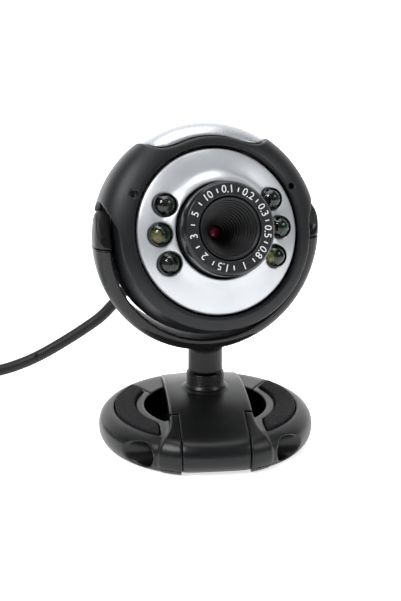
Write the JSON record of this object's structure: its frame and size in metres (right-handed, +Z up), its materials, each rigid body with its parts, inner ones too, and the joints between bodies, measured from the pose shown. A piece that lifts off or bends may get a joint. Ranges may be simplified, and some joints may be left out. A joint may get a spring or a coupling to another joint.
{
  "type": "ball webcam on clip base",
  "caption": "Ball-shaped USB webcam with lamps round a focus ring, tilting in a yoke on a swivel stem, on a round sprung clip base with a coiled lead.",
  "frame": {"origin": "middle of the base's flat underside, on the desk", "axes": "+Z up, the lens looks towards -Y, +X to the right as seen from the front"},
  "size_m": [0.1461, 0.0857, 0.0806],
  "materials": {
    "satin_black": "fine satin moulded ABS, black",
    "yoke_black": "satin black moulding with glossy edges",
    "gloss_black": "glossy black",
    "silver_face": "silver metallic lacquer on plastic",
    "pearl_silver": "pearl silver moulding",
    "foam": "closed-cell foam, dark",
    "steel": "plain steel",
    "clear_lamp": "clear lamp",
    "board_green": "solder-masked board",
    "cable_black": "flexible PVC",
    "nickel": "nickel plate",
    "white_plastic": "plain white",
    "lens_glass": "coated lens"
  },
  "bodies": {
    "lower_jaw": {"lower_jaw": "satin_black", "bottom_plate": "satin_black", "foam_pad_left": "foam", "foam_pad_right": "foam", "hinge_pin_left": "steel", "hinge_pin_right": "steel", "cable": "cable_black", "cable_coil": "cable_black", "plug_relief": "cable_black", "usb_plug_body": "cable_black", "usb_plug_shell": "nickel", "usb_plug_tongue": "white_plastic"},
    "upper_jaw": {"upper_jaw": "satin_black", "clip_spring": "steel", "stem_collar": "satin_black"},
    "yoke": {"yoke": "yoke_black", "stem_washer": "steel", "stem_screw": "steel", "pivot_cap_left": "yoke_black", "pivot_cap_right": "yoke_black", "pivot_pin_left": "steel", "pivot_pin_right": "steel"},
    "head": {"front_bezel": "satin_black", "rear_shell": "pearl_silver", "face_plate": "silver_face", "led_board": "board_green", "led_1": "clear_lamp", "led_2": "clear_lamp", "led_3": "clear_lamp", "led_4": "clear_lamp", "led_5": "clear_lamp", "led_6": "clear_lamp", "shell_screw_left": "steel", "shell_screw_right": "steel", "main_board": "board_green", "image_sensor": "gloss_black", "lens_holder": "satin_black", "board_connector": "white_plastic", "holder_screw_left": "steel", "holder_screw_right": "steel", "microphone": "steel", "cable_gland": "cable_black"},
    "focus_ring": {"focus_ring": "gloss_black", "lens_hood": "satin_black"},
    "lens_barrel": {"lens_barrel": "gloss_black", "lens_glass": "lens_glass"}
  },
  "joints": [
    {"name": "clip_open", "type": "hinge", "parent": "lower_jaw", "child": "upper_jaw", "pos_m": [0, -0.02, 0.004], "axis": [1, 0, 0], "range_deg": [0, 35], "stiffness_Nm_per_rad": 0.12, "springref_deg": -57.3, "deforming": ["cable"]},
    {"name": "yoke_swivel", "type": "hinge", "parent": "upper_jaw", "child": "yoke", "pos_m": [0, 0, 0.0155], "axis": [0, 0, 1], "range_deg": [-90, 90], "deforming": ["cable"]},
    {"name": "head_tilt", "type": "hinge", "parent": "yoke", "child": "head", "pos_m": [0, 0, 0.0532], "axis": [-0.9799, -0.1994, 0], "range_deg": [-18, 20], "deforming": ["cable"]},
    {"name": "focus_turn", "type": "hinge", "parent": "head", "child": "focus_ring", "pos_m": [0.00382, -0.01878, 0.05855], "axis": [0.192, -0.9438, 0.2689], "range_deg": [-150, 150]},
    {"name": "lens_advance", "type": "slide", "parent": "head", "child": "lens_barrel", "axis": [0.192, -0.9438, 0.2689], "range_m": [-0.00021, 0.00021]}
  ],
  "couplings": [
    {"joint": "lens_advance", "follows": "focus_turn", "m_per_rad": 0.00007958}
  ]
}
